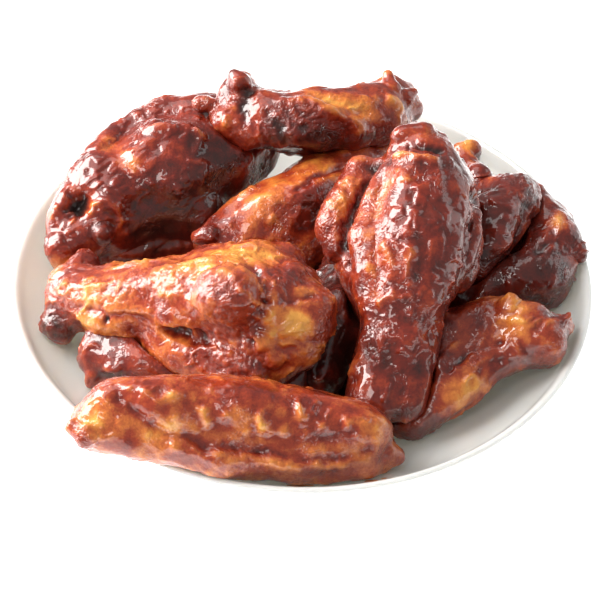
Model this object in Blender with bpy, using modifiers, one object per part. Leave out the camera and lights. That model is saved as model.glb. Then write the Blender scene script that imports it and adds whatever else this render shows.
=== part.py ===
"""Glazed chicken wings heaped on a shallow white plate.

Metres, +Z up. The origin is on the surface that the plate stands on, under the middle of its foot.
+X is to the right of the serving and +Y is to its back.

Every wing is one closed body: strands of flesh, skin and bone, fused and softened. Where two wings
press on each other the lower one is dented, and every wing is dented by the plate that it lies on.
"""

import bmesh
import bpy
from mathutils import Vector

MM = 0.001

# Plate: a coupe shape on a foot ring.
PLATE_RADIUS = 100 * MM
PLATE_HEIGHT = 26 * MM
PLATE_STEPS = 48

# Flesh: how the strands are fused, softened and faceted.
FUSE_VOXEL = 1.5 * MM
SOFTEN_ROUNDS = 7
WING_FACES = 620
BEADS_PER_RADIUS = 2.2
CONTACT_GAP = 0.35 * MM

DARK_GLAZE = ("dark_glaze", (0.16, 0.022, 0.010), 0.22)
AMBER_GLAZE = ("amber_glaze", (0.36, 0.075, 0.018), 0.26)
PORCELAIN = ("porcelain", (0.86, 0.85, 0.81), 0.12)

# Wings from the top of the heap down. A strand is a row of (x, y, z, radius) in millimetres.
WINGS = [
    ("drumette_leaning", DARK_GLAZE, [
        # bone end at the front, up through the meat to the joint
        [(25, -57, 22, 10.5), (29, -46, 28, 11.5), (33, -30, 40, 14.5), (37, -12, 49, 18),
         (40, 3, 56, 17), (39, 13, 62, 12), (37, 20, 68, 6.5)],
        [(49, 11, 57, 8), (46, 4, 54, 12)],
        [(34, -58, 22, 8), (37, -45, 29, 8.5), (38, -29, 36, 9)],
        # the side that lies on the heap
        [(30, -36, 27, 10), (34, -22, 31, 12), (38, -5, 41, 16), (41, 10, 48, 16), (40, 19, 55, 10)],
        # the muscle that lies along its left side
        [(19, 16, 53, 7), (15, 5, 47, 8.5), (18, -7, 40, 8.5), (25, -26, 33, 9)],
        [(21, 12, 49, 7), (29, 13, 53, 9)],
        # the glazed skin that hangs on its right side
        [(52, 4, 50, 8), (54, -5, 44, 7), (50, -15, 39, 8)],
    ]),
    ("drumette_left", AMBER_GLAZE, [
        # flared bone end on the left, along to the meat and the knuckle
        [(-76, -18, 26, 11), (-60, -26, 31, 12.5), (-43, -29, 35, 14.5), (-25, -33, 40, 16.5),
         (-12, -38, 42, 14.5), (0, -39, 41, 12.5)],
        [(-75, -7, 29, 6.5), (-77, -17, 26, 8), (-81, -27, 21, 7)],
        [(-62, -29, 27, 9), (-67, -34, 20, 5.5)],
        # the side that lies on the heap
        [(-72, -15, 20, 9), (-56, -15, 22, 13), (-40, -16, 24, 15), (-25, -20, 27, 16), (-8, -27, 31, 13)],
        # ball of meat, small round joint and the muscle under them
        [(-15, -40, 47, 12.5), (-22, -38, 47, 12)],
        [(-30, -20, 38, 11), (-16, -19, 41, 10.5), (-6, -17, 42, 7.5)],
        [(-12, -24, 40, 9), (0, -28, 40, 9)],
        [(-45, -40, 28, 8), (-30, -48, 27, 9), (-16, -52, 26, 9.5), (-9, -53, 27, 7.5)],
        [(-12, -46, 34, 11), (-2, -47, 33, 9.5)],
    ]),
    ("flat_back", AMBER_GLAZE, [
        [(-23, 58, 50, 9), (-9, 52, 48.5, 11), (5, 54, 47.5, 12), (24, 64, 43.5, 12.5), (34, 76, 40, 8.5)],
        [(-9, 57, 42, 9), (5, 59, 40, 11), (24, 68, 37, 10)],
        [(-25, 60, 52, 8), (-25, 66, 54, 5)],
        [(-28, 54, 47, 8), (-20, 50, 46, 8)],
        [(28, 70, 43, 8), (31, 80, 46, 4.5)],
        [(34, 74, 39, 8), (42, 75, 38, 4.5)],
    ]),
    ("flat_front", AMBER_GLAZE, [
        [(-57, -79, 39, 9), (-42, -79, 39, 10), (-15, -77, 34, 11), (13, -75, 28, 10.5), (20, -76, 26, 10)],
        [(-61, -84, 36, 8.5), (-50, -87, 34, 7), (-23, -87, 29, 8.5), (1, -85, 24, 8.5), (19, -82, 21, 8)],
        [(-54, -75, 34, 8), (-42, -73, 33, 10), (-15, -70, 28, 11), (12, -70, 22, 9.5)],
        [(18, -78, 20, 8), (26, -77, 18, 6)],
    ]),
    ("drumette_middle", AMBER_GLAZE, [
        [(-28, 15, 21, 11), (-13, 24, 23, 15), (3, 36, 24, 16.5), (20, 51, 24, 15), (30, 58, 23, 11)],
        [(-22, 13, 17, 10), (-8, 15, 17, 11.5), (7, 27, 18, 13), (20, 42, 19, 12)],
        [(-28, 20, 18, 8), (-36, 26, 14, 5)],
    ]),
    ("drumette_right", DARK_GLAZE, [
        [(46, 4, 28, 10), (58, 0, 30, 9), (64, 7, 34, 10), (67, 14, 37, 12), (72, 21, 38, 10.5), (75, 25, 38, 9)],
        [(62, 24, 34, 9), (63, 35, 36, 6.5)],
        [(56, 10, 30, 9), (57, 30, 25, 10), (59, 50, 28, 6)],
    ]),
    ("flat_under_middle", DARK_GLAZE, [
        [(6, -42, 16, 10), (11, -27, 19, 12), (14, -12, 18, 13), (19, 4, 19, 13), (25, 17, 21, 10), (29, 26, 23, 7)],
        [(14, -21, 29, 5.5), (11, -27, 19, 12)],
    ]),
    ("flat_front_right", AMBER_GLAZE, [
        [(38, -42, 20, 10), (50, -30, 24, 10), (63, -29, 26, 10), (74, -32, 29, 10.5), (81, -36, 28, 9)],
        [(36, -58, 14, 9), (47, -51, 19, 10), (60, -40, 22, 9), (72, -36, 24, 8.5), (82, -37, 26, 7.5)],
        [(50, -24, 18, 10), (62, -23, 20, 10), (72, -27, 23, 9)],
        [(70, -28, 31, 6), (69, -24, 33, 4)],
        [(82, -32, 28, 6), (88, -27, 28, 3.5)],
    ]),
    ("drumette_back_left", DARK_GLAZE, [
        [(-79, 12, 24, 9), (-66, 34, 29, 16), (-50, 43, 30, 21), (-34, 52, 31, 18), (-22, 62, 29, 13)],
        [(-82, 10, 20, 9), (-83, 18, 29, 8), (-72, 34, 33, 12)],
        [(-69, 18, 22, 9), (-55, 30, 23, 14), (-41, 32, 21, 14)],
        [(-64, 43, 23, 14), (-50, 55, 24, 18), (-34, 60, 25, 15)],
        [(-63, 55, 38, 8), (-50, 63, 38, 10), (-36, 65, 38, 10.5), (-26, 63, 33, 11)],
    ]),
    ("flat_right", DARK_GLAZE, [
        [(81, 32, 31, 8), (86, 22, 30, 9.5), (91, 11, 32, 7)],
        [(86, 22, 27, 9.5), (81, 2, 24, 13), (69, -2, 21, 11), (58, -5, 19, 9.5)],
        [(88, 8, 25, 9), (84, 0, 22, 11)],
    ]),
    ("drumette_under_left", DARK_GLAZE, [
        [(-65, -41, 20, 8.5), (-50, -44, 19, 11), (-25, -44, 18, 11.5), (-3, -45, 17, 10)],
        [(-66, -36, 24, 6), (-54, -37, 24, 6.5)],
    ]),
]

# Plate profile at +X, from the middle of the inside, out over the lip and under to the middle: (radius, height).
PLATE_INSIDE = [(0, 5), (30, 5), (56, 6), (72, 8.6), (84, 13), (93.5, 19.5)]
PLATE_LIP = [(97, 25.2), (98.2, 26), (99.6, 26), (100, 25.2)]
PLATE_UNDER = [(98.5, 23.5), (94, 16.5), (85, 9.5), (72, 5), (56, 2.5), (54, 0), (50, 0), (49, 3), (0, 3)]


def clear_scene():
    for obj in list(bpy.data.objects):
        bpy.data.objects.remove(obj)


def new_collection(name):
    made = bpy.data.collections.new(name)
    bpy.context.scene.collection.children.link(made)
    return made


def material(finish):
    """One Principled material for each finish, shared by the pieces that have it."""
    name, colour, roughness = finish
    made = bpy.data.materials.get(name)
    if made is None:
        made = bpy.data.materials.new(name)
        made.use_nodes = True
        shader = made.node_tree.nodes["Principled BSDF"]
        shader.inputs["Base Color"].default_value = (*colour, 1)
        shader.inputs["Roughness"].default_value = roughness
        shader.inputs["Metallic"].default_value = 0
    return made


def new_object(name, mesh, collection):
    made = bpy.data.objects.new(name, mesh)
    collection.objects.link(made)
    return made


def turned(name, profile, collection):
    """A profile of (radius, height) in millimetres at +X, turned round Z into a closed body."""
    mesh = bpy.data.meshes.new(name)
    points = [(radius * MM, 0, height * MM) for radius, height in profile]
    mesh.from_pydata(points, [(i, i + 1) for i in range(len(points) - 1)], [])
    made = new_object(name, mesh, collection)
    screw = made.modifiers.new("Turn", "SCREW")
    screw.axis = "Z"
    screw.steps = PLATE_STEPS
    screw.render_steps = PLATE_STEPS
    screw.use_merge_vertices = True
    screw.merge_threshold = 0.01 * MM
    screw.use_smooth_shade = True
    return made


def beads(strand):
    """Balls close enough along the strand to fuse into one tapered limb: (centre, radius) in metres."""
    for (*start, start_radius), (*end, end_radius) in zip(strand, strand[1:]):
        start, end = Vector(start), Vector(end)
        smaller = min(start_radius, end_radius)
        steps = max(1, round((end - start).length / smaller * BEADS_PER_RADIUS))
        for step in range(steps + 1):
            share = step / steps
            centre = start.lerp(end, share)
            radius = start_radius + (end_radius - start_radius) * share
            yield centre * MM, radius * MM


def wing(name, finish, strands, collection):
    """One wing: the balls of its strands, fused by a voxel remesh, softened, and reduced to plain facets."""
    shape = bmesh.new()
    for strand in strands:
        for centre, radius in beads(strand):
            ball = bmesh.ops.create_icosphere(shape, subdivisions=2, radius=radius)
            bmesh.ops.translate(shape, verts=ball["verts"], vec=centre)
    mesh = bpy.data.meshes.new(name)
    shape.to_mesh(mesh)
    shape.free()
    made = new_object(name, mesh, collection)
    made.data.materials.append(material(finish))
    fuse = made.modifiers.new("Fuse", "REMESH")
    fuse.mode = "VOXEL"
    fuse.voxel_size = FUSE_VOXEL
    fuse.use_smooth_shade = True
    soften = made.modifiers.new("Soften", "SMOOTH")
    soften.factor = 0.5
    soften.iterations = SOFTEN_ROUNDS
    reduce_to(made, WING_FACES)
    return made


def reduce_to(obj, faces):
    """Adds a Decimate that leaves about this many triangles."""
    graph = bpy.context.evaluated_depsgraph_get()
    evaluated = obj.evaluated_get(graph)
    mesh = evaluated.to_mesh()
    mesh.calc_loop_triangles()
    count = len(mesh.loop_triangles)
    evaluated.to_mesh_clear()
    reduce = obj.modifiers.new("Reduce", "DECIMATE")
    reduce.ratio = min(1, faces / count)
    reduce.use_collapse_triangulate = True


def hidden_cutter(obj):
    obj.hide_render = True
    obj.display_type = "WIRE"
    return obj


def grown_copy(obj, collection):
    """A cutter a contact gap larger all round than the wing it copies."""
    made = obj.copy()
    made.name = obj.name + "_print"
    collection.objects.link(made)
    grow = made.modifiers.new("Grow", "DISPLACE")
    grow.direction = "NORMAL"
    grow.mid_level = 0
    grow.strength = CONTACT_GAP
    return hidden_cutter(made)


def world_box(obj):
    corners = [obj.matrix_world @ Vector(corner) for corner in obj.bound_box]
    low = [min(c[i] for c in corners) for i in range(3)]
    high = [max(c[i] for c in corners) for i in range(3)]
    return low, high


def boxes_meet(a, b):
    (low_a, high_a), (low_b, high_b) = world_box(a), world_box(b)
    return all(low_a[i] < high_b[i] and low_b[i] < high_a[i] for i in range(3))


def dent(obj, cutter):
    cut = obj.modifiers.new("Dent " + cutter.name, "BOOLEAN")
    cut.operation = "DIFFERENCE"
    cut.object = cutter
    cut.solver = "EXACT"


def build_plate(parts, cutters):
    plate = turned("plate", PLATE_INSIDE + PLATE_LIP + PLATE_UNDER, parts)
    plate.data.materials.append(material(PORCELAIN))
    # Everything under the food: below the plate's inside, and below the level of its lip beyond the rim.
    gap = CONTACT_GAP / MM
    lip = PLATE_HEIGHT / MM + gap
    ground = [(0, PLATE_INSIDE[0][1] + gap)]
    ground += [(radius - gap * 0.7, height + gap) for radius, height in PLATE_INSIDE[1:]]
    ground += [(97, lip), (150, lip), (150, -30), (0, -30)]
    return hidden_cutter(turned("plate_print", ground, cutters))


def main():
    clear_scene()
    parts = new_collection("chicken_wings_serving")
    cutters = new_collection("cutters")
    ground = build_plate(parts, cutters)
    above = []
    for name, finish, strands in WINGS:
        made = wing(name, finish, strands, parts)
        print_of = grown_copy(made, cutters)
        bpy.context.view_layer.update()
        dent(made, ground)
        for cutter in above:
            if boxes_meet(made, cutter):
                dent(made, cutter)
        above.append(print_of)


main()
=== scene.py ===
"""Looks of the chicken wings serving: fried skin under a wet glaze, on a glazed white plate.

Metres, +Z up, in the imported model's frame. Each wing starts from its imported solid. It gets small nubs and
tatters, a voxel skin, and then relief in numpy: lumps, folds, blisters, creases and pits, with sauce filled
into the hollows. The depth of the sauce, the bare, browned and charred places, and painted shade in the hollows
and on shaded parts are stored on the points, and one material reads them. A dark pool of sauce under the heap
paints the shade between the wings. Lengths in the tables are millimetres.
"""

import math

import bmesh
import bpy
import numpy as np
from mathutils import Matrix, Vector


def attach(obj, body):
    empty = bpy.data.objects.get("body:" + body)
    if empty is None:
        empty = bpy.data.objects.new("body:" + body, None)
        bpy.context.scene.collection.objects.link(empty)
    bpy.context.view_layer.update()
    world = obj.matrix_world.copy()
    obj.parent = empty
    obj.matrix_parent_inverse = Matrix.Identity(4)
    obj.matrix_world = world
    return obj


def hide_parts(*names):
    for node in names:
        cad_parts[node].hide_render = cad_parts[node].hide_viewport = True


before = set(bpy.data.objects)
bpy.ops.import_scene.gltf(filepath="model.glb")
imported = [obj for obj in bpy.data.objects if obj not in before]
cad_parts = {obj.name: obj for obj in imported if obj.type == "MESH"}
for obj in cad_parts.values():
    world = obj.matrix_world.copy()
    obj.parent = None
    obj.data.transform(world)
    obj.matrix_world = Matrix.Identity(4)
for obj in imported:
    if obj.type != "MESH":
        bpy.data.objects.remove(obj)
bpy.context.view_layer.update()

MM = 0.001
SKIN_VOXEL = 0.55 * MM


# ---------------------------------------------------------------- noise

GRADIENTS = np.array(
    [(1, 1, 0), (-1, 1, 0), (1, -1, 0), (-1, -1, 0), (1, 0, 1), (-1, 0, 1), (1, 0, -1), (-1, 0, -1),
     (0, 1, 1), (0, -1, 1), (0, 1, -1), (0, -1, -1), (1, 1, 0), (-1, 1, 0), (0, -1, 1), (0, -1, -1)],
    np.float32)


def hashed(cell, seed):
    mixed = (cell[:, 0] * 73856093) ^ (cell[:, 1] * 19349663) ^ (cell[:, 2] * 83492791) ^ (seed * 26544357)
    mixed = ((mixed ^ (mixed >> 13)) * 1274126177) & 0xFFFFFFFF
    return mixed ^ (mixed >> 16)


def noise(points, seed=0):
    """Smooth gradient noise, about -1 to 1, with features about one unit across."""
    low = np.floor(points)
    share = (points - low).astype(np.float32)
    low = low.astype(np.int64)
    ease = share * share * share * (share * (share * 6 - 15) + 10)
    total = np.zeros(len(points), np.float32)
    for corner in np.ndindex(2, 2, 2):
        at = np.array(corner)
        slope = GRADIENTS[hashed(low + at, seed) & 15]
        weight = np.where(at, ease, 1 - ease).prod(1)
        total += weight * ((share - at) * slope).sum(1)
    return total


def scattered(points, seed=0):
    """For points scattered one to a unit cell: distance to the nearest, to the next, and a random 0..1 of the nearest."""
    low = np.floor(points)
    share = (points - low).astype(np.float32)
    low = low.astype(np.int64)
    near = np.full(len(points), 9, np.float32)
    after = near.copy()
    pick = np.zeros(len(points), np.float32)
    for offset in np.ndindex(3, 3, 3):
        at = np.array(offset) - 1
        code = hashed(low + at, seed)
        place = np.stack([code & 1023, (code >> 10) & 1023, (code >> 20) & 1023], 1) / 1023
        away = np.sqrt(((at + place - share) ** 2).sum(1)).astype(np.float32)
        closer = away < near
        after = np.where(closer, near, np.minimum(after, away))
        pick = np.where(closer, (code >> 7 & 255) / 255, pick)
        near = np.minimum(near, away)
    return near, after, pick


def ramp(value, low, high):
    share = np.clip((value - low) / (high - low), 0, 1)
    return share * share * (3 - 2 * share)


# ---------------------------------------------------------------- mesh helpers

def evaluated_mesh(obj):
    graph = bpy.context.evaluated_depsgraph_get()
    return bpy.data.meshes.new_from_object(obj.evaluated_get(graph))


def skinned(mesh, voxel, rounds):
    """The mesh after a voxel remesh and some rounds of smoothing."""
    holder = bpy.data.objects.new("holder", mesh)
    bpy.context.scene.collection.objects.link(holder)
    fuse = holder.modifiers.new("Fuse", "REMESH")
    fuse.mode = "VOXEL"
    fuse.voxel_size = voxel
    soften = holder.modifiers.new("Soften", "SMOOTH")
    soften.factor = 0.5
    soften.iterations = rounds
    made = evaluated_mesh(holder)
    bpy.data.objects.remove(holder)
    return made


def positions(mesh):
    flat = np.empty(len(mesh.vertices) * 3, np.float32)
    mesh.vertices.foreach_get("co", flat)
    return flat.reshape(-1, 3)


def set_positions(mesh, points):
    mesh.vertices.foreach_set("co", np.ascontiguousarray(points, np.float32).ravel())
    mesh.update()


def point_normals(mesh):
    flat = np.empty(len(mesh.vertices) * 3, np.float32)
    mesh.vertex_normals.foreach_get("vector", flat)
    return flat.reshape(-1, 3)


class Links:
    """Who is next to whom on a mesh, for smoothing values over it."""

    def __init__(self, mesh):
        pairs = np.empty(len(mesh.edges) * 2, np.int32)
        mesh.edges.foreach_get("vertices", pairs)
        self.a, self.b = pairs.reshape(-1, 2).T
        self.count = len(mesh.vertices)
        self.degree = np.maximum(np.bincount(self.a, minlength=self.count) + np.bincount(self.b, minlength=self.count), 1)

    def mean(self, values, rounds):
        """Each round moves every value half way to its neighbours' mean."""
        for _ in range(rounds):
            around = np.bincount(self.a, values[self.b], self.count) + np.bincount(self.b, values[self.a], self.count)
            values = values * 0.5 + around / self.degree * 0.5
        return values


def add_limbs(mesh, limbs):
    """Adds tapering limbs, each a row of (x, y, z, radius), to fuse with the mesh."""
    shape = bmesh.new()
    shape.from_mesh(mesh)
    for limb in limbs:
        for (*start, start_radius), (*end, end_radius) in zip(limb, limb[1:]):
            start, end = Vector(start), Vector(end)
            steps = max(1, round((end - start).length / min(start_radius, end_radius) * 2.5))
            for step in range(steps + 1):
                share = step / steps
                ball = bmesh.ops.create_icosphere(
                    shape, subdivisions=2, radius=(start_radius + (end_radius - start_radius) * share) * MM)
                bmesh.ops.translate(shape, verts=ball["verts"], vec=start.lerp(end, share) * MM)
    made = bpy.data.meshes.new(mesh.name + "_limbs")
    shape.to_mesh(made)
    shape.free()
    return made


def along(points, line):
    """Distance in mm from each point to a polyline of (x, y, z), or to one point."""
    best = np.full(len(points), 1e9)
    line = [np.array(p, float) for p in line]
    for start, end in zip(line, line[1:] or line):
        run = end - start
        share = np.clip((points - start) @ run / max(run @ run, 1e-9), 0, 1)
        best = np.minimum(best, np.linalg.norm(points - start - share[:, None] * run, axis=1))
    return best


# ---------------------------------------------------------------- the wings

# For each wing: its slot, the way its grain runs, how golden its skin is (0 dark to 1 golden; kept near 0 as painted
# shade on a wing lying in shadow), how deep its sauce stands, how grainy (pebble) and how wrinkled (fold) it is. nubs
# are limbs of (x, y, z, radius). The other tables hold rows of (strength, reach, point, point...): bumps raise the
# finished surface or, below 0, cut it, in mm; golds make it more golden or, below 0, darker, and the wide dark row on
# the back left wing is painted shade; chars burn it, and a few rows paint shade into a hole and onto shaded parts;
# grains roughen it; pools deepen the sauce; crinkles are where the glaze has dried to wrinkles or, below 0, where it
# is smooth; streams draw the skin out in runs along the grain.
WINGS = {
    "drumette_leaning": dict(
        slot="dark_glaze", grain=(0.1, 0.75, 0.65), gold_and_shade=0.36, wet=0.95, pebble=0.0, fold=0.45, seed=11,
        nubs=[[(13, 6, 50, 5.5), (11, -2, 46, 6), (12, -9, 42, 5)], [(33, 17, 70, 4.4), (39, 18, 71, 4.4)],
              [(28, 6, 63, 4), (24, -4, 56, 6), (22, -14, 52, 7), (23, -26, 47, 7), (25, -37, 41, 6)],
              [(50, -6, 57, 2.0), (56, -4, 54, 2.2), (56, -10, 50, 2.3), (54, -17, 47, 2.2), (48, -26, 44, 2.0)]],
        bumps=[(2.0, 1.7, (31, 6, 69), (36, 3, 72), (42, 2, 72)), (-2.4, 1.9, (28, 11, 70), (36, 9, 74), (44, 8, 72)),
               (-2.6, 3.4, (24, 13, 60)),
               (-2.4, 1.8, (25, 12, 59), (21, 6, 56), (17, 0, 53), (14, -9, 48), (15, -17, 44)),
               (1.0, 2.3, (33, -5, 69)), (0.9, 2.0, (37, -9, 68)), (1.1, 2.1, (33, -23, 62)),
               (1.3, 2.2, (27, -25, 57), (29, -31, 55)), (1.4, 2.3, (35, -27, 59), (33, -34, 53)),
               (1.2, 1.6, (25, -39, 47), (29, -39, 50), (34, -40, 50)),
               (0.6, 2.4, (44, -6, 70), (45, -16, 64), (42, -25, 59), (40, -33, 53), (41, -38, 47)),
               (-0.4, 1.6, (39, -12, 67), (38, -24, 61), (37, -34, 54)),
               (-1.6, 2.2, (53, -11, 56), (52, -18, 53)),
               (-2.6, 2.8, (57, 2, 57), (55, 0, 59)), (-0.5, 2.0, (53, -3, 60), (51, -12, 58), (47, -20, 56), (44, -30, 50)), (-1.8, 2.0, (54, -9, 54)),
               (-0.8, 2.2, (29, -47, 41), (28, -55, 34)), (0.8, 2.0, (36, -46, 42), (40, -49, 35), (40, -57, 28)),
               (0.9, 2.3, (22, -42, 41), (20, -49, 35), (17, -54, 29))],
        golds_and_shade=[(0.30, 5, (27, -3, 64), (22, -8, 58)), (0.24, 4.5, (15, 7, 56), (12, 0, 52)),
               (0.20, 5, (23, -14, 58), (24, -28, 53), (25, -37, 48)), (-0.12, 9, (50, 0, 68), (50, -14, 61), (46, -32, 44)),
               (-0.06, 10, (29, -49, 40), (27, -63, 29))],
        chars_and_shade=[(0.8, 4.5, (24, 13, 60)), (0.40, 6, (50, 0, 68), (52, -4, 65)), (0.3, 5, (46, 9, 71)),
               (0.4, 6, (30, -65, 24))],
        grains=[(0.9, 8, (15, 7, 56), (11, 0, 51), (11, -11, 41)),
                (0.5, 3.5, (26, 2, 62), (22, -5, 56)), (0.6, 7, (50, 0, 68))],
        pools=[(0.8, 6, (31, -17, 65), (31, -22, 62), (39, -12, 67)), (0.8, 9, (29, -49, 40), (34, -50, 38)),
               (1.0, 8, (50, -14, 61), (52, -17, 54), (51, -22, 48), (46, -32, 44))],
        crinkles=[(1.0, 6, (24, -6, 62), (23, -20, 58), (25, -36, 50)), (0.7, 7, (15, 7, 56), (12, -6, 50)),
                  (-0.8, 9, (50, -14, 60), (48, -28, 50)), (-0.7, 7, (34, -12, 66)), (-0.6, 9, (34, -52, 36))],
        streams=[(0.45, 7, (46, -8, 66), (44, -22, 59), (42, -34, 50), (38, -50, 38))]),
    "drumette_left": dict(
        slot="amber_glaze", grain=(1, -0.3, 0.2), gold_and_shade=0.50, wet=0.50, pebble=0.32, fold=0.6, seed=23,
        nubs=[[(-24, -43, 53, 9.5), (-20, -45, 53, 9.5)], [(-3, -31, 47, 6), (-5, -38, 50, 5.5)], [(-3, -44, 45, 7)],
              [(-12, -49, 43, 5), (-9, -53, 35, 5)], [(-28, -48, 32, 6.5), (-14, -54, 31, 6.5)],
              [(-41, -40, 40, 5.5), (-34, -43, 40, 5)]],
        bumps=[(-3.4, 1.9, (-18, -28, 56), (-12, -38, 60), (-10, -45, 58), (-10, -50, 54), (-14, -54, 48), (-20, -54, 42), (-27, -52, 40)),
               (-1.6, 1.6, (-31, -40, 54), (-22, -36, 58), (-14, -37, 57)), (0.5, 6.5, (-22, -45, 56)),
               (-3.4, 1.8, (-42, -44, 37), (-34, -48, 38), (-26, -52, 40), (-16, -54, 42)),
               
               (1.1, 4, (-2, -25, 49)), (-0.9, 1.4, (-9, -44, 53), (-3, -45, 52), (4, -42, 51)),
               (1.0, 3.5, (-69, -35, 30), (-62, -38, 31)), (-0.8, 1.3, (-73, -32, 34), (-62, -36, 36), (-50, -41, 38)),
               (0.9, 1.5, (-78, -14, 36), (-66, -18, 41), (-52, -20, 44)), (-1.6, 1.1, (-63, -37, 34))],
        golds_and_shade=[(0.25, 6, (-67, -31, 39)), (0.22, 5, (-70, -35, 30), (-62, -38, 30)),
               (0.28, 7, (-37, -30, 52), (-27, -33, 56), (-20, -28, 54)), (0.25, 5, (-31, -24, 51), (-12, -22, 50)),
               (1.00, 4.3, (-1, -50, 47)), (0.28, 3.6, (-10, -49, 54), (-10, -51, 47), (-9, -54, 39)), (0.08, 6, (4, -43, 51), (3, -51, 39)), (0.10, 5, (-36, -42, 48)),
               (-0.20, 6.5, (-20, -48, 55), (-16, -50, 52)), (-0.22, 7, (-74, -12, 35), (-70, -6, 33)),
               (-0.35, 6, (-84, -30, 26), (-80, -33, 22)), (-0.25, 5, (-2, -25, 48), (-5, -40, 54)),
               (-0.22, 7, (-21, -53, 35), (-27, -51, 35)), (-0.20, 5, (6, -47, 46), (8, -42, 49))],
        chars_and_shade=[(0.4, 5, (-84, -30, 26)), (0.3, 3, (-17, -50, 49)), (0.4, 5, (6, -50, 37)), (0.9, 1.2, (-63, -37, 34))],
        grains=[(0.5, 9, (-62, -30, 42), (-45, -34, 48)), (0.9, 8, (-22, -46, 55)), (0.8, 7, (-21, -53, 35)), (0.8, 7, (6, -50, 40)), (0.8, 6, (-82, -31, 25))],
        pools=[(1.2, 3, (-16, -51, 46), (-12, -54, 41)), (-1.3, 5, (-1, -50, 46)), (-0.5, 3.5, (-10, -51, 47), (-9, -54, 39)), (0.8, 7, (-74, -12, 35)), (0.2, 8, (-48, -37, 45)),
               (1.0, 5, (-4, -38, 53)), (0.8, 4, (-39, -44, 41))],
        crinkles=[(0.7, 7, (-37, -30, 52), (-22, -30, 56)), (0.6, 6, (-22, -46, 55)), (-0.6, 8, (-62, -31, 42)),
                  (-0.6, 6, (-74, -12, 35))], streams=[]),
    "flat_back": dict(
        slot="amber_glaze", grain=(1, 0.2, -0.2), gold_and_shade=0.38, wet=0.62, pebble=0.15, fold=0.6, seed=31,
        nubs=[[(-33, 56, 52, 2.2), (-38, 57, 51, 3.2)], [(31, 70, 50, 4.0), (30, 75, 53, 1.8)],
              [(37, 70, 47, 3.4), (40, 72, 48, 1.4)], [(-24, 59, 59, 4.5), (-26, 61, 62, 2.0)]],
        bumps=[(-2.4, 3.2, (-21, 55, 58), (-22, 50, 55)), (-2.0, 3.0, (4, 55, 60), (10, 54, 58), (17, 53, 55), (23, 53, 52)),
               (1.2, 2.0, (-8, 50, 58), (0, 51, 59), (12, 48, 55), (19, 49, 49)), (1.5, 2.0, (31, 62, 53), (34, 62, 48)),
               (-1.0, 1.6, (-14, 47, 56), (-9, 43, 52)), (0.9, 3.0, (-5, 43, 52))],
        golds_and_shade=[(0.62, 3.7, (2, 56, 61), (10, 54, 58), (17, 53, 55), (23, 53, 52)), (0.35, 4, (31, 62, 53), (34, 62, 48)),
               (0.3, 4, (30, 76, 51)), (-0.30, 9, (7, 44, 43), (-8, 42, 51)), (-0.12, 5, (-26, 60, 59)),
               (0.12, 5, (-30, 47, 50))],
        chars_and_shade=[(0.8, 3.6, (-21, 55, 58), (-22, 50, 55)), (0.45, 5, (-8, 42, 51)), (0.25, 8, (7, 44, 43))],
        grains=[(0.8, 8, (-8, 42, 51), (0, 44, 54)), (0.9, 5, (-21, 55, 58)), (0.5, 6, (20, 46, 45))],
        pools=[(1.2, 6, (-30, 49, 52)), (0.8, 4, (-26, 60, 59)), (0.6, 8, (7, 44, 43))],
        crinkles=[], streams=[]),
    "flat_front": dict(
        slot="amber_glaze", grain=(1, 0, -0.1), gold_and_shade=0.53, wet=0.72, pebble=0.0, fold=0.5, seed=47,
        nubs=[[(-63, -90, 38, 4), (-67, -88, 39, 3)], [(27, -80, 22, 4), (31, -79, 19, 3)]],
        bumps=[(-1.3, 1.8, (-54, -83, 47), (-47, -87, 44), (-39, -90, 39), (-29, -91, 37), (-17, -91, 35), (-4, -91, 32),
                (10, -89, 29), (21, -86, 29)),
               (1.0, 2.4, (-50, -80, 48), (-42, -84, 46), (-35, -82, 47)), (1.5, 1.6, (-28, -84, 44), (-27, -87, 41)),
               (1.3, 1.4, (-22, -85, 43)), (1.6, 1.6, (-11, -84, 41), (-10, -87, 38)), (1.5, 1.5, (0, -79, 41), (1, -82, 39)),
               (1.4, 1.6, (7, -83, 36)), (1.4, 1.5, (15, -81, 36)), (0.9, 1.6, (-16, -87, 38)), (0.9, 1.6, (-4, -85, 36)),
               (0.9, 1.8, (-36, -92, 35), (-20, -94, 32), (0, -91, 28), (14, -89, 25))],
        golds_and_shade=[(0.38, 4, (-60, -88, 43)), (0.34, 3.2, (-44, -91, 39), (-37, -88, 41)), (0.20, 2.8, (-18, -85, 41), (-11, -85, 40)),
               (0.45, 2.5, (24, -81, 32)), (0.2, 3, (-28, -86, 43)), (0.2, 3, (1, -80, 40)),
               (-0.16, 6, (-21, -78, 45), (-6, -78, 42), (10, -77, 39))],
        chars_and_shade=[(0.3, 1.2, (-4, -92, 31)), (0.25, 4, (-52, -80, 46))],
        grains=[(0.8, 7, (-65, -89, 41), (-62, -90, 36)), (0.5, 4, (-23, -93, 33), (13, -90, 25))],
        pools=[(1.0, 6, (-46, -83, 47), (-52, -81, 47)), (0.5, 6, (-21, -80, 44), (10, -78, 38)),
               (0.6, 5, (18, -80, 34))],
        crinkles=[], streams=[]),
    "drumette_middle": dict(
        slot="amber_glaze", grain=(0.8, 0.6, 0.1), gold_and_shade=0.48, wet=0.85, pebble=0.0, fold=0.2, seed=53,
        nubs=[[(-32, 11, 29, 3.6), (-37, 12, 27, 1.5)]],
        bumps=[(-1.1, 1.3, (-4, 24, 38), (-1, 27, 38), (6, 33, 39), (13, 39, 38)), (0.8, 2.5, (-13, 21, 37), (-4, 22, 37))],
        golds_and_shade=[(0.22, 7, (7, 38, 39), (-14, 25, 37), (-20, 17, 36)), (-0.22, 6, (2, 26, 37), (1, 19, 32)),
               (-0.35, 6, (-31, 12, 29)), (-0.30, 6, (9, 20, 34))],
        chars_and_shade=[(0.4, 4, (10, 22, 33))],
        grains=[(0.6, 5, (-26, 14, 32))],
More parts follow.
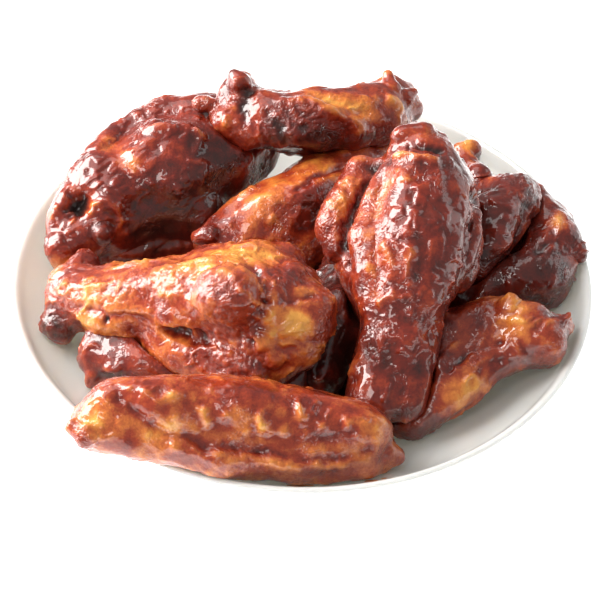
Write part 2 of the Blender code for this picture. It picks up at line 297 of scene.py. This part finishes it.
        pools=[(0.8, 8, (2, 25, 37), (1, 19, 32))],
        crinkles=[], streams=[(0.5, 9, (-14, 24, 38), (7, 36, 39))]),
    "drumette_right": dict(
        slot="dark_glaze", grain=(0.5, 0.8, 0.2), gold_and_shade=0.24, wet=0.70, pebble=0.15, fold=0.6, seed=61,
        nubs=[[(62, 33, 40, 4.5), (60, 44, 35, 4.4)], [(60, 44, 35, 4.4), (57, 53, 35, 4.4), (61, 54, 35, 4.2)]],
        bumps=[(-1.4, 2.0, (75, 14, 44), (74, 6, 38), (72, 0, 35)), (1.0, 2.5, (66, 11, 48)), (0.9, 2.5, (66, 2, 42)),
               (-0.9, 1.6, (60, 20, 44), (60, 8, 43)), (1.0, 1.7, (63, -3, 39), (70, 1, 38))],
        golds_and_shade=[(0.60, 6, (58, 53, 38)), (0.25, 4.5, (66, 26, 44)), (0.10, 4, (66, 8, 46))],
        chars_and_shade=[(0.5, 7, (73, 28, 46), (78, 17, 44)), (0.35, 6, (75, 6, 37))],
        grains=[(0.9, 8, (73, 28, 46), (78, 17, 44))],
        pools=[(-1.2, 7, (58, 53, 38)), (0.9, 7, (66, 11, 48), (67, 3, 42), (64, -3, 38))],
        crinkles=[], streams=[]),
    # This flat lies hidden under the heap and is painted near black, a dark piece that stands in for the shade in the
    # gap between the wings over it.
    "flat_under_middle": dict(
        slot="dark_glaze", grain=(0.2, 1, 0), gold_and_shade=0.05, wet=0.50, pebble=0.20, fold=0.7, seed=71,
        nubs=[], bumps=[], golds_and_shade=[(0.45, 3, (12, -26, 32))], chars_and_shade=[(0.5, 20, (10, -40, 26))], grains=[], pools=[], crinkles=[(-0.9, 40, (10, -40, 26))], streams=[]),
    "flat_front_right": dict(
        slot="amber_glaze", grain=(0.9, 0.4, 0.1), gold_and_shade=0.40, wet=0.60, pebble=0.10, fold=0.6, seed=83,
        nubs=[[(68, -30, 34, 5), (69, -27, 38, 2.2)], [(82, -35, 33, 4), (87, -32, 36, 1.6)]],
        bumps=[(-1.3, 1.3, (48, -51, 28), (54, -44, 30), (59, -42, 31), (65, -41, 32)), (0.8, 1.8, (45, -48, 28), (51, -40, 30)),
               (-0.9, 1.5, (57, -50, 26), (64, -45, 28)), (0.9, 1.7, (66, -34, 36), (72, -36, 37)),
               (-1.0, 2.2, (76, -38, 36))],
        golds_and_shade=[(0.35, 5, (67, -37, 35), (71, -39, 36), (70, -28, 37)), (0.40, 6, (51, -58, 24), (55, -54, 25)),
               (-0.12, 5, (46, -46, 28)), (-0.05, 5, (69, -43, 29), (79, -43, 31)), (-0.25, 6, (42, -64, 17))],
        chars_and_shade=[(0.4, 3.6, (76, -37, 37)), (0.45, 7, (42, -64, 17))],
        grains=[(0.9, 8, (42, -64, 17)), (0.4, 6, (55, -28, 34)), (0.6, 6, (76, -36, 36))],
        pools=[(1.2, 5, (69, -43, 29)), (0.8, 4, (46, -48, 28), (49, -50, 29)), (0.5, 6, (57, -31, 34))],
        crinkles=[], streams=[]),
    "drumette_back_left": dict(
        slot="dark_glaze", grain=(0.7, 0.6, 0.1), gold_and_shade=0.35, wet=0.85, pebble=0.0, fold=0.5, seed=97,
        nubs=[[(-72, 17, 15, 8), (-56, 20, 14, 8.5), (-40, 26, 14, 8), (-30, 33, 14, 7)],
              [(-71, 12, 28, 4.5), (-70, 9, 30, 2.4)], [(-77, 10, 29, 4.2)], [(-85, 8, 25, 5.5), (-84, 5, 23, 5)],
              [(-74, 40, 40, 5), (-68, 52, 40, 5), (-62, 58, 42, 4.5)]],
        bumps=[(-6.0, 3.7, (-79, 17, 36)), (1.5, 1.7, (-74, 14, 36), (-70, 18, 37), (-66, 17, 35), (-62, 12, 28)),
               (1.2, 2.4, (-87, 14, 35), (-85, 21, 38)), (-1.3, 6, (-60, 50, 47), (-54, 54, 47), (-43, 49, 49)),
               (1.4, 1.8, (-56, 42, 50), (-45, 44, 50), (-37, 43, 48)), (1.0, 1.6, (-38, 43, 48), (-38, 37, 46)),
               (0.8, 1.2, (-41, 33, 45), (-36, 34, 42), (-37, 30, 38), (-42, 29, 39)), (0.9, 2.8, (-49, 26, 40)),
               (0.8, 2.3, (-54, 25, 40)), (0.8, 2.8, (-62, 23, 39)), (0.7, 2.5, (-44, 26, 37)),
               (-0.8, 1.6, (-64, 38, 47), (-52, 36, 47), (-46, 32, 43))],
        # The wide dark golds row and the wide chars row paint shade on the lower right, and the strong chars row at the
        # hole paints its shaded inside.
        golds_and_shade=[(0.28, 5, (-63, 31, 45)), (0.75, 5, (-84, 2, 20)), (0.12, 7, (-70, 40, 44)),
               (-0.26, 12, (-50, 20, 34), (-54, 17, 26), (-30, 36, 38))],
        chars_and_shade=[(1.8, 3.5, (-79, 17, 35)), (0.5, 5, (-71, 10, 31)), (0.70, 12, (-54, 15, 22), (-40, 28, 32), (-32, 34, 34)), (0.35, 6, (-38, 40, 47))],
        grains=[(0.6, 8, (-55, 22, 38), (-60, 18, 34)), (0.9, 5, (-71, 10, 31))],
        pools=[(1.0, 8, (-82, 30, 39), (-85, 25, 37)), (-1.8, 4, (-79, 17, 35)), (0.9, 6, (-71, 32, 44), (-69, 22, 39)),
               (1.2, 8, (-56, 53, 47), (-43, 49, 49)), (1.0, 6, (-85, 6, 28)), (0.7, 7, (-40, 30, 40))],
        crinkles=[(-0.8, 26, (-60, 34, 42), (-82, 26, 38))], streams=[]),
    "flat_right": dict(
        slot="dark_glaze", grain=(0.6, 0.7, 0), gold_and_shade=0.22, wet=0.65, pebble=0.15, fold=0.6, seed=103,
        nubs=[[(95, 8, 31, 3), (97, 5, 29, 2.2)]],
        bumps=[(-1.2, 1.8, (88, 3, 35), (80, -1, 36)), (0.9, 2.5, (84, 24, 40))],
        golds_and_shade=[(0.55, 4, (89, 12, 38)), (0.15, 5, (94, 4, 30))],
        chars_and_shade=[(0.4, 8, (72, -4, 33)), (0.3, 6, (81, -7, 33))],
        grains=[(0.7, 6, (95, 6, 31)), (0.5, 7, (80, -4, 34))],
        pools=[(0.8, 6, (81, -7, 33), (74, -8, 30))],
        crinkles=[], streams=[]),
    "drumette_under_left": dict(
        slot="dark_glaze", grain=(1, 0, 0), gold_and_shade=0.25, wet=0.62, pebble=0.20, fold=0.7, seed=113,
        nubs=[[(-67, -47, 18, 3.4), (-68, -48, 15, 3)]],
        bumps=[(1.0, 2.5, (-61, -50, 24)), (-1.2, 1.6, (-65, -50, 20), (-58, -51, 22))],
        golds_and_shade=[(0.25, 4, (-68, -49, 17))], chars_and_shade=[(0.3, 6, (-50, -51, 26))], grains=[], pools=[(0.8, 5, (-61, -50, 24))],
        crinkles=[], streams=[]),
}


def felt(p, rows):
    """The sum of what each row (strength, reach, point, point...) adds at points p."""
    total = np.zeros(len(p))
    for strength, reach, *line in rows:
        total += strength * np.exp(-((along(p, line) / reach) ** 2))
    return total


def domes(p, size, seed, share):
    """Low domes scattered over about this share of unit cells of this size, 0 to 1."""
    near, after, pick = scattered(p / size, seed)
    return ramp(pick, 1 - share, 1.3 - share) * np.clip(1 - (near / 0.8) ** 2, 0, 1)


def relief(p, look, rough):
    """Height in mm of the fried skin over the plain form at points p (mm), before any sauce."""
    seed = look["seed"]
    grain = np.array(look["grain"], float)
    grain /= np.linalg.norm(grain)
    warp = np.stack([noise(p / 7, seed + i) for i in range(3)], 1) * 2.0
    # along the grain the pattern is drawn out to nearly twice its length
    drawn = p - 0.45 * (p @ grain)[:, None] * grain + warp
    height = 1.4 * noise(p / 15, seed + 3) + 1.2 * noise(drawn / 8, seed + 4)
    wrinkled = look["fold"] * ramp(noise(p / 11, seed + 5), -0.1, 0.35)
    height += wrinkled * 1.3 * np.clip(1 - np.abs(noise(drawn / 6, seed + 6)) / 0.3, 0, 1) ** 1.5
    height += 0.6 * domes(drawn, 4.2, seed + 7, 0.4)
    height += rough * 0.55 * domes(p + 0.3 * warp, 1.9, seed + 8, 0.8)
    height += rough * 0.30 * noise(p / 0.95, seed + 9)
    height += wrinkled * 0.5 * np.clip(1 - np.abs(noise(drawn / 2.6, seed + 12)) / 0.3, 0, 1) ** 1.3
    runs = p - 0.85 * (p @ grain)[:, None] * grain + 0.4 * warp
    height += felt(p, look["streams"]) * noise(runs / 3.2, seed + 10)
    return height


def softly_higher(a, b, blend):
    """The higher of two heights, with a rounded join."""
    share = np.clip(0.5 + 0.5 * (a - b) / blend, 0, 1)
    return b + (a - b) * share + blend * share * (1 - share)


def dressed_wing(name, look):
    seed = look["seed"]
    plain = skinned(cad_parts[name].data.copy(), 1.0 * MM, 12)
    mesh = skinned(add_limbs(plain, look["nubs"]), SKIN_VOXEL, 5)
    mesh.name = name + "_skin"
    at, normal = positions(mesh), point_normals(mesh)
    p = at / MM
    # places named in the tables wander a little, so that none of them shows as a plain circle or a plain band
    wandering = p + np.stack([1.2 * noise(p / 4.5, seed + i) + 0.5 * noise(p / 1.8, seed + 3 + i) for i in (50, 60, 70)], 1)
    links = Links(mesh)
    per_mm = (1.0 * MM / SKIN_VOXEL) ** 2 * 3
    rough = np.clip(look["pebble"] + 0.25 * noise(p / 9, seed + 11) + felt(wandering, look["grains"]), 0, 1.3)
    skin = relief(p, look, rough)
    level = -0.75 + look["wet"] + 0.5 * noise(p / 10, seed + 20) + felt(wandering, look["pools"])
    top = softly_higher(skin, links.mean(skin, round(per_mm * 6)) + level, 0.25)
    sauce = np.clip(top - skin, 0, 3)
    # the glaze ends in soft steps where it ran and set
    steps = ramp(noise(wandering / 5.5, seed + 23), 0.0, 0.10) + ramp(noise(wandering / 3.4, seed + 24), 0.1, 0.2)
    top += felt(wandering, look["bumps"]) + 0.42 * ramp(sauce, 0.2, 0.9) * steps
    # in patches the glaze has dried to crinkles, and between them it is smooth
    crinkle = np.clip(ramp(noise(p / 10, seed + 25), -0.10, 0.35) + felt(wandering, look["crinkles"]), 0, 1.3)
    top += (0.08 + 0.34 * crinkle) * noise(wandering / 3.5, seed + 21) + 0.08 * crinkle * noise(p / 1.6, seed + 22)
    set_positions(mesh, at + normal * (top * MM)[:, None])
    # Painted shade: the deeper a point sits in a hollow, the less golden and the more charred it is painted, so hollows
    # are darkened as shade.
    hollow_shade = links.mean(links.mean(top, round(per_mm * 5)) - top, 2)
    gold_and_shade = look["gold_and_shade"] + 0.20 * noise(p / 9, seed + 30) + 0.15 * noise(p / 3.5, seed + 31) - 0.38 * hollow_shade
    gold_and_shade += felt(wandering, look["golds_and_shade"]) - 0.16 * sauce
    char_and_shade = np.clip(0.5 * noise(p / 6, seed + 40) + 0.3 * noise(p / 2, seed + 41) - 0.40 + 0.60 * hollow_shade, 0, 1)
    char_and_shade += felt(wandering, look["chars_and_shade"])
    for label, values in (("gold_and_shade", gold_and_shade), ("char_and_shade", char_and_shade), ("sauce", sauce), ("rough", rough),
                          ("crinkle", crinkle)):
        mesh.attributes.new(label, "FLOAT", "POINT").data.foreach_set("value", values.astype(np.float32))
    mesh.shade_smooth()
    piece = bpy.data.objects.new(name + "_skin", mesh)
    bpy.context.scene.collection.objects.link(piece)
    mesh.materials.append(MATERIALS["glazed_skin"])
    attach(piece, "root")
    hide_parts(name)
    return piece


# ---------------------------------------------------------------- materials

class Nodes:
    """Short calls for wiring a material's nodes."""

    def __init__(self, name):
        self.material = bpy.data.materials.new(name)
        self.material.use_nodes = True
        self.tree = self.material.node_tree
        self.shader = self.tree.nodes["Principled BSDF"]
        self.output = self.tree.nodes["Material Output"]

    def new(self, kind, **settings):
        node = self.tree.nodes.new(kind)
        for key, value in settings.items():
            setattr(node, key, value)
        return node

    def link(self, source, target):
        self.tree.links.new(source, target)

    def put(self, socket, value):
        if isinstance(value, bpy.types.NodeSocket):
            self.link(value, socket)
        else:
            socket.default_value = value

    def attribute(self, name):
        return self.new("ShaderNodeAttribute", attribute_name=name).outputs["Fac"]

    def math(self, operation, a, b=0.0, clamp=False):
        node = self.new("ShaderNodeMath", operation=operation, use_clamp=clamp)
        self.put(node.inputs[0], a)
        self.put(node.inputs[1], b)
        return node.outputs[0]

    def spread(self, value, low, high, to_low=0.0, to_high=1.0):
        node = self.new("ShaderNodeMapRange", interpolation_type="SMOOTHSTEP")
        for i, v in enumerate((value, low, high, to_low, to_high)):
            self.put(node.inputs[i], v)
        return node.outputs[0]

    def noise(self, size, detail=3.0, rough=0.55, warp=0.0):
        """Noise with features of this size in metres, 0 to 1."""
        node = self.new("ShaderNodeTexNoise")
        self.put(node.inputs["Vector"], self.place())
        self.put(node.inputs["Scale"], 1 / size)
        self.put(node.inputs["Detail"], detail)
        self.put(node.inputs["Roughness"], rough)
        self.put(node.inputs["Distortion"], warp)
        return node.outputs["Fac"]

    def cells(self, size, smooth=0.3):
        node = self.new("ShaderNodeTexVoronoi", feature="SMOOTH_F1")
        self.put(node.inputs["Vector"], self.place())
        self.put(node.inputs["Scale"], 1 / size)
        self.put(node.inputs["Smoothness"], smooth)
        return node.outputs["Distance"]

    def place(self):
        if not hasattr(self, "_place"):
            self._place = self.new("ShaderNodeTexCoord").outputs["Object"]
        return self._place

    def blend(self, share, a, b, mode="MIX"):
        node = self.new("ShaderNodeMix", data_type="RGBA", blend_type=mode)
        self.put(node.inputs[0], share)
        self.put(node.inputs[6], a)
        self.put(node.inputs[7], b)
        return node.outputs[2]

    def colours(self, value, stops):
        node = self.new("ShaderNodeValToRGB")
        self.put(node.inputs[0], value)
        row = node.color_ramp.elements
        while len(row) < len(stops):
            row.new(0.5)
        for element, (place, colour) in zip(row, stops):
            element.position = place
            element.color = (*colour, 1)
        return node.outputs[0]

    def bump(self, height, distance, strength=1.0, before=None):
        node = self.new("ShaderNodeBump")
        self.put(node.inputs["Height"], height)
        self.put(node.inputs["Distance"], distance)
        self.put(node.inputs["Strength"], strength)
        if before is not None:
            self.link(before, node.inputs["Normal"])
        return node.outputs["Normal"]


def glazed_skin():
    n = Nodes("glazed_skin")
    gold_and_shade, char_and_shade, sauce, rough, crinkled = (n.attribute(a) for a in ("gold_and_shade", "char_and_shade", "sauce", "rough", "crinkle"))
    mottle = n.noise(2.8 * MM, 5, 0.62, 0.9)
    speck = n.noise(0.8 * MM, 2, 0.6)
    tone = n.math("ADD", gold_and_shade, n.math("MULTIPLY", n.math("SUBTRACT", mottle, 0.5), 0.42))
    tone = n.math("ADD", tone, n.math("MULTIPLY", n.math("SUBTRACT", speck, 0.5), 0.20), clamp=True)
    skin = n.colours(tone, [
        (0.00, (0.050, 0.009, 0.006)), (0.25, (0.17, 0.014, 0.006)), (0.46, (0.34, 0.040, 0.011)),
        (0.60, (0.52, 0.115, 0.026)), (0.76, (0.71, 0.205, 0.036)), (1.00, (0.87, 0.385, 0.070))])
    thick = n.spread(sauce, 0.2, 1.6)
    glazed = n.blend(n.math("MULTIPLY", thick, 0.45), skin, (0.30, 0.027, 0.010, 1))
    # The char attribute holds real char and painted shade from hollows, the hole and shaded parts; both darken the
    # colour here.
    burnt_and_shaded = n.spread(n.math("ADD", char_and_shade, n.math("MULTIPLY", n.math("SUBTRACT", mottle, 0.5), 0.4)), 0.15, 0.95)
    colour = n.blend(n.math("MULTIPLY", burnt_and_shaded, 0.88), glazed, (0.024, 0.011, 0.009, 1))
    n.link(colour, n.shader.inputs["Base Color"])
    s = n.shader.inputs
    s["Roughness"].default_value = 0.45
    s["Specular IOR Level"].default_value = 0.12
    s["Coat Weight"].default_value = 1.0
    s["Coat Roughness"].default_value = 0.035
    s["Coat IOR"].default_value = 1.66
    grainy = n.math("ADD", n.noise(0.7 * MM, 2, 0.6), n.math("MULTIPLY", n.cells(1.1 * MM), 0.6))
    crinkle = n.noise(2.6 * MM, 1, 0.5, 1.4)
    base = n.bump(grainy, 0.22 * MM, n.spread(sauce, 0.05, 0.9, 0.9, 0.2))
    dried = n.spread(crinkled, 0.1, 1.0, 0.10, 1.0)
    n.link(n.bump(crinkle, 0.40 * MM, n.math("MULTIPLY", dried, 0.6), base), s["Normal"])
    # the film of glaze is a mirror where it is thick and follows the grain where it is thin
    film = n.bump(grainy, 0.20 * MM, n.math("MULTIPLY", n.spread(rough, 0.25, 1.0, 0.05, 1.0), n.spread(sauce, 0.1, 0.9, 1.0, 0.0)))
    creases = n.spread(n.math("ABSOLUTE", n.math("SUBTRACT", n.noise(4.2 * MM, 1, 0.5, 1.5), 0.5)), 0.0, 0.09, 0.0, 1.0)
    film = n.bump(creases, 0.28 * MM, n.math("MULTIPLY", dried, 0.7), film)
    n.link(n.bump(crinkle, 0.20 * MM, n.math("MULTIPLY", dried, n.spread(sauce, 0.1, 1.6, 0.7, 0.20)), film), s["Coat Normal"])
    return n.material


def porcelain():
    n = Nodes("white_porcelain")
    cloud = n.noise(30 * MM, 2, 0.5)
    n.link(n.blend(cloud, (0.65, 0.67, 0.66, 1), (0.69, 0.71, 0.70, 1)), n.shader.inputs["Base Color"])
    s = n.shader.inputs
    s["Roughness"].default_value = 0.32
    s["Coat Weight"].default_value = 1.0
    s["Coat Roughness"].default_value = 0.06
    s["Subsurface Weight"].default_value = 0.8
    s["Subsurface Radius"].default_value = (1.0, 0.95, 0.85)
    s["Subsurface Scale"].default_value = 6 * MM
    n.link(n.bump(n.noise(9 * MM, 2, 0.5), 0.05 * MM, 0.6), s["Coat Normal"])
    return n.material


def table_top():
    n = Nodes("pale_table")
    cloud = n.noise(0.25, 2, 0.5)
    n.link(n.blend(cloud, (0.90, 0.90, 0.90, 1), (0.94, 0.94, 0.94, 1)), n.shader.inputs["Base Color"])
    n.shader.inputs["Roughness"].default_value = 0.8
    n.shader.inputs["Emission Color"].default_value = (1, 1, 1, 1)
    n.shader.inputs["Emission Strength"].default_value = 0.7
    return n.material


def run_off(name, dark, light):
    n = Nodes(name)
    cloud = n.noise(6 * MM, 3, 0.55)
    n.link(n.blend(cloud, (*dark, 1), (*light, 1)), n.shader.inputs["Base Color"])
    s = n.shader.inputs
    s["Roughness"].default_value = 0.35
    s["Coat Weight"].default_value = 1.0
    s["Coat Roughness"].default_value = 0.03
    n.link(n.bump(n.noise(3 * MM, 2, 0.5), 0.15 * MM, 0.5), s["Coat Normal"])
    return n.material


# shade_dark_sauce is the near-black sauce of the pool under the heap, dark to paint the shade in the gaps between the
# wings.
MATERIALS = {"glazed_skin": glazed_skin(), "porcelain": porcelain(), "table": table_top(),
             "shade_dark_sauce": run_off("shade_dark_sauce", (0.045, 0.014, 0.010), (0.10, 0.022, 0.012)),
             "thin_sauce": run_off("thin_sauce", (0.62, 0.16, 0.025), (0.75, 0.28, 0.05))}


# ---------------------------------------------------------------- plate, table, light, camera

def smooth_profile(points, per_span=6):
    """A soft curve through (radius, height) points, kept at sharp repeats."""
    pts = [np.array(p, float) for p in points]
    out = []
    for i in range(len(pts) - 1):
        before, start, end, after = pts[max(i - 1, 0)], pts[i], pts[i + 1], pts[min(i + 2, len(pts) - 1)]
        for step in range(per_span):
            t = step / per_span
            out.append(0.5 * (2 * start + (end - before) * t + (2 * before - 5 * start + 4 * end - after) * t ** 2
                              + (3 * start - before - 3 * end + after) * t ** 3))
    out.append(pts[-1])
    return out


# (radius, height) in mm along the plate's inside, and each patch of sauce on it: x, y, half width, half depth, thickness
INSIDE = [(0.01, 5), (30, 5), (56, 6), (72, 8.6), (84, 13), (93.5, 19.5), (97, 24.6)]
# The pool lies under the heap and is dark, a sheet of sauce that stands in for the shade between the wings.
SHADE_SAUCE_POOL = [(6, -8, 56, 46, 0.9)]
SAUCE_DROPS = [(0, -90.3, 3.0, 1.1, 0.15), (4, -90.0, 1.6, 0.8, 0.2), (23, -88.3, 2.2, 0.9, 0.15), (27, -87.2, 1.0, 0.6, 0.12)]


def plate():
    lip = [(98.2, 25.8), (99.2, 25.95), (99.9, 25.2)]
    under = [(98.5, 22.8), (94, 16.2), (85, 9.4), (72, 5.0), (60, 3.2), (55.6, 2.2), (54.2, 0.4), (53, 0.0), (51, 0.0),
             (49.8, 0.5), (49, 2.6), (46, 3), (25, 3), (0.01, 3)]
    profile = [(r, max(h, 0)) for r, h in smooth_profile(INSIDE + lip + under, 4)]
    turns = 192
    angle = np.arange(turns) / turns * 2 * math.pi
    points = [(r * math.cos(a) * MM, r * math.sin(a) * MM, h * MM) for r, h in profile for a in angle]
    faces = []
    for row in range(len(profile) - 1):
        for k in range(turns):
            a, b = row * turns + k, row * turns + (k + 1) % turns
            faces.append((a, b, b + turns, a + turns))
    last = (len(profile) - 1) * turns
    faces.append(tuple(range(turns))[::-1])
    faces.append(tuple(last + k for k in range(turns)))
    mesh = bpy.data.meshes.new("plate_glazed")
    mesh.from_pydata(points, [], [f[::-1] for f in faces])
    mesh.update()
    mesh.shade_smooth()
    mesh.materials.append(MATERIALS["porcelain"])
    piece = bpy.data.objects.new("plate_glazed", mesh)
    bpy.context.scene.collection.objects.link(piece)
    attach(piece, "root")
    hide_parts("plate")
    return piece


def plate_height(r):
    """Height in mm of the plate's inside at radius r."""
    radii, heights = zip(*smooth_profile(INSIDE, 6))
    return np.interp(r, radii, heights)


def sauce_on_plate(name, spots, material):
    """Sauce in soft-edged spots that lie on the plate: drops that have run off the wings, and a dark pool that paints
    the shade under the heap.
    """
    rings, turns = 18, 96
    points, faces = [], []
    for x, y, wide, deep, thick in spots:
        angle = np.arange(turns) / turns * 2 * math.pi
        edge = np.stack([np.cos(angle), np.sin(angle), np.full(turns, x / 10)], 1)
        reach = 1 + 0.22 * noise(edge * 1.3) + 0.10 * noise(edge * 4.0, 5)
        first = len(points)
        for row in range(rings + 1):
            share = (row + 1) / (rings + 1)
            px, py = x + edge[:, 0] * wide * reach * share, y + edge[:, 1] * deep * reach * share
            lift = thick * (1 - share ** 6) if row < rings else np.full(turns, -0.2)
            points += [(a * MM, b * MM, (c + 0.02) * MM) for a, b, c in zip(px, py, plate_height(np.hypot(px, py)) + lift)]
        for row in range(rings):
            for k in range(turns):
                a, b = first + row * turns + k, first + row * turns + (k + 1) % turns
                faces.append((a, a + turns, b + turns, b))
        faces.append(tuple(first + k for k in range(turns)))
        faces.append(tuple(first + rings * turns + k for k in range(turns))[::-1])
    mesh = bpy.data.meshes.new(name)
    mesh.from_pydata(points, [], faces)
    mesh.update()
    mesh.shade_smooth()
    mesh.materials.append(MATERIALS[material])
    piece = bpy.data.objects.new(name, mesh)
    bpy.context.scene.collection.objects.link(piece)
    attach(piece, "root")


def table():
    mesh = bpy.data.meshes.new("table")
    half = 3.0
    mesh.from_pydata([(-half, -half, 0), (half, -half, 0), (half, half, 0), (-half, half, 0)], [], [(0, 1, 2, 3)])
    mesh.materials.append(MATERIALS["table"])
    floor = bpy.data.objects.new("table", mesh)
    bpy.context.scene.collection.objects.link(floor)


def soft_box(name, at, size, power, colour=(1, 1, 1), aim=(0, 0, 0.03)):
    light = bpy.data.lights.new(name, "AREA")
    light.shape = "RECTANGLE"
    light.size, light.size_y = size
    light.energy = power
    light.color = colour
    lamp = bpy.data.objects.new(name, light)
    lamp.location = at
    lamp.rotation_euler = (Vector(aim) - Vector(at)).to_track_quat("-Z", "Y").to_euler()
    bpy.context.scene.collection.objects.link(lamp)


def lights():
    # a large window low on the left with the paler wall over it, a small lamp in front and a weak fill on the right
    soft_box("window_left", (-0.66, 0.18, 0.42), (0.60, 0.72), 15.5, (1, 0.96, 0.93))
    soft_box("wall_left", (-0.46, 0.30, 0.78), (0.95, 0.85), 4.0, (1, 0.97, 0.95))
    soft_box("front_left", (-0.30, -0.44, 0.72), (0.30, 0.30), 1.4, (1, 0.96, 0.92))
    soft_box("fill_right", (0.72, 0.28, 0.30), (0.6, 0.45), 0.9)
    world = bpy.data.worlds.new("studio")
    world.use_nodes = True
    world.node_tree.nodes["Background"].inputs["Color"].default_value = (1, 1, 1, 1)
    world.node_tree.nodes["Background"].inputs["Strength"].default_value = 0.31
    bpy.context.scene.world = world


def camera():
    tilt, roll, away = math.radians(44), math.radians(1.5), 0.5075
    target = Vector((-0.0003, -0.0175, 0.026))
    ahead = Vector((0, math.cos(tilt), -math.sin(tilt)))
    side, up = Vector((1, 0, 0)), Vector((0, math.sin(tilt), math.cos(tilt)))
    right = math.cos(roll) * side + math.sin(roll) * up
    above = -math.sin(roll) * side + math.cos(roll) * up
    lens = bpy.data.cameras.new("camera")
    lens.lens, lens.sensor_width = 90, 36
    lens.clip_start = 0.01
    eye = bpy.data.objects.new("camera", lens)
    place = Matrix((right, above, -ahead)).transposed().to_4x4()
    place.translation = target - ahead * away
    eye.matrix_world = place
    bpy.context.scene.collection.objects.link(eye)
    bpy.context.scene.camera = eye


plate()
sauce_on_plate("shade_sauce_pool", SHADE_SAUCE_POOL, "shade_dark_sauce")
sauce_on_plate("sauce_drops", SAUCE_DROPS, "thin_sauce")
for wing_name, wing_look in WINGS.items():
    dressed_wing(wing_name, wing_look)
table()
lights()
camera()
bpy.context.scene.view_settings.view_transform = "Standard"
